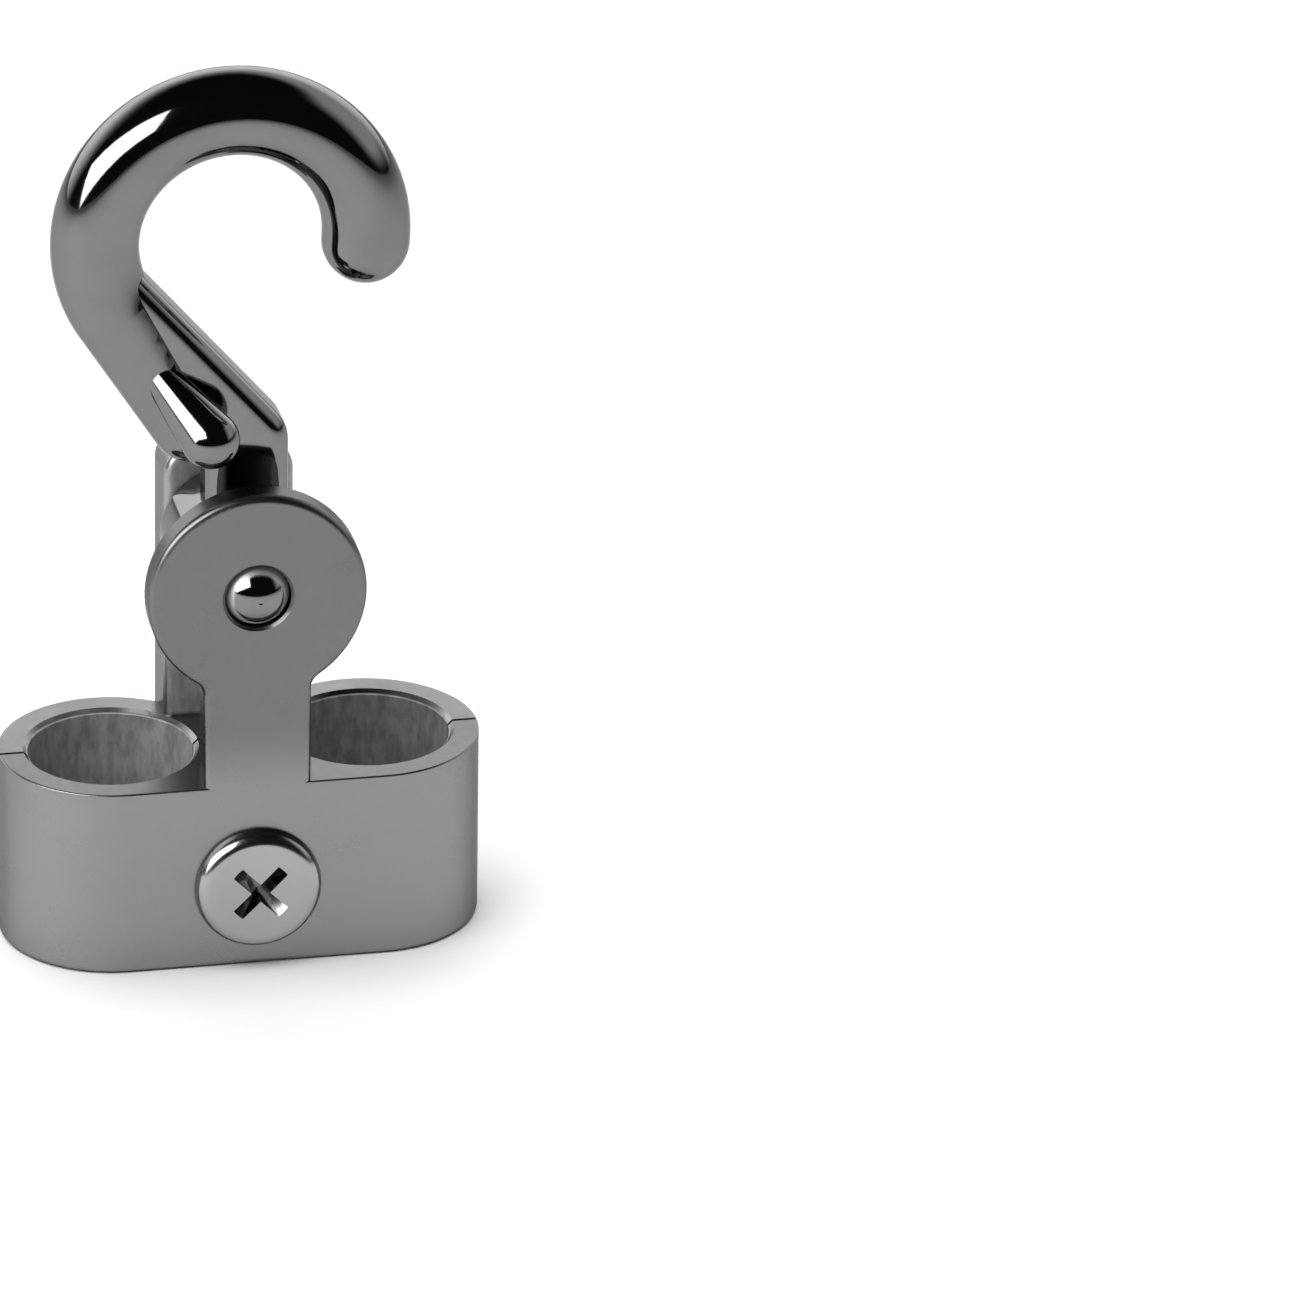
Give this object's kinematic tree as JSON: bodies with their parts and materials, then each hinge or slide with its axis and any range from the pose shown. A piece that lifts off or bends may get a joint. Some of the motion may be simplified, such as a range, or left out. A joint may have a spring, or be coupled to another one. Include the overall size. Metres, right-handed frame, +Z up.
{
  "type": "rope hook",
  "caption": "Metal rope clamp of joined half shells with rope bores side by side, a screw that draws them together, and a swivelling hook on a cross pin above.",
  "frame": {"origin": "centre of the clamp body's bottom face, on the plane between the two shells", "axes": "+Z up towards the hook, +X along the clamp body from bore to bore, +Y to the rear, away from the screw head"},
  "size_m": [0.0292, 0.0156, 0.056],
  "materials": {
    "shell": "satin nickel plate on die-cast metal",
    "hook": "polished bright plate",
    "pin": "polished",
    "screw": "bright zinc plate"
  },
  "bodies": {
    "rear": {"rear_shell": "shell", "pivot_pin": "pin"},
    "front": {"front_shell": "shell"},
    "hook": {"swivel_hook": "hook"},
    "screw": {"clamp_screw": "screw"}
  },
  "joints": [
    {"name": "hook_pivot", "type": "hinge", "parent": "rear", "child": "hook", "pos_m": [0, 0, 0.0243], "axis": [0, 1, 0], "range_deg": [-90, 90]},
    {"name": "clamp_open", "type": "slide", "parent": "rear", "child": "front", "axis": [0, -1, 0], "range_m": [0, 0.00119]},
    {"name": "screw_turn", "type": "hinge", "parent": "front", "child": "screw", "pos_m": [0, 0, 0.0052], "axis": [0, -1, 0], "range_deg": [0, 720]}
  ],
  "couplings": [
    {"joint": "screw_turn", "follows": "clamp_open", "rad_per_m": 10472}
  ]
}
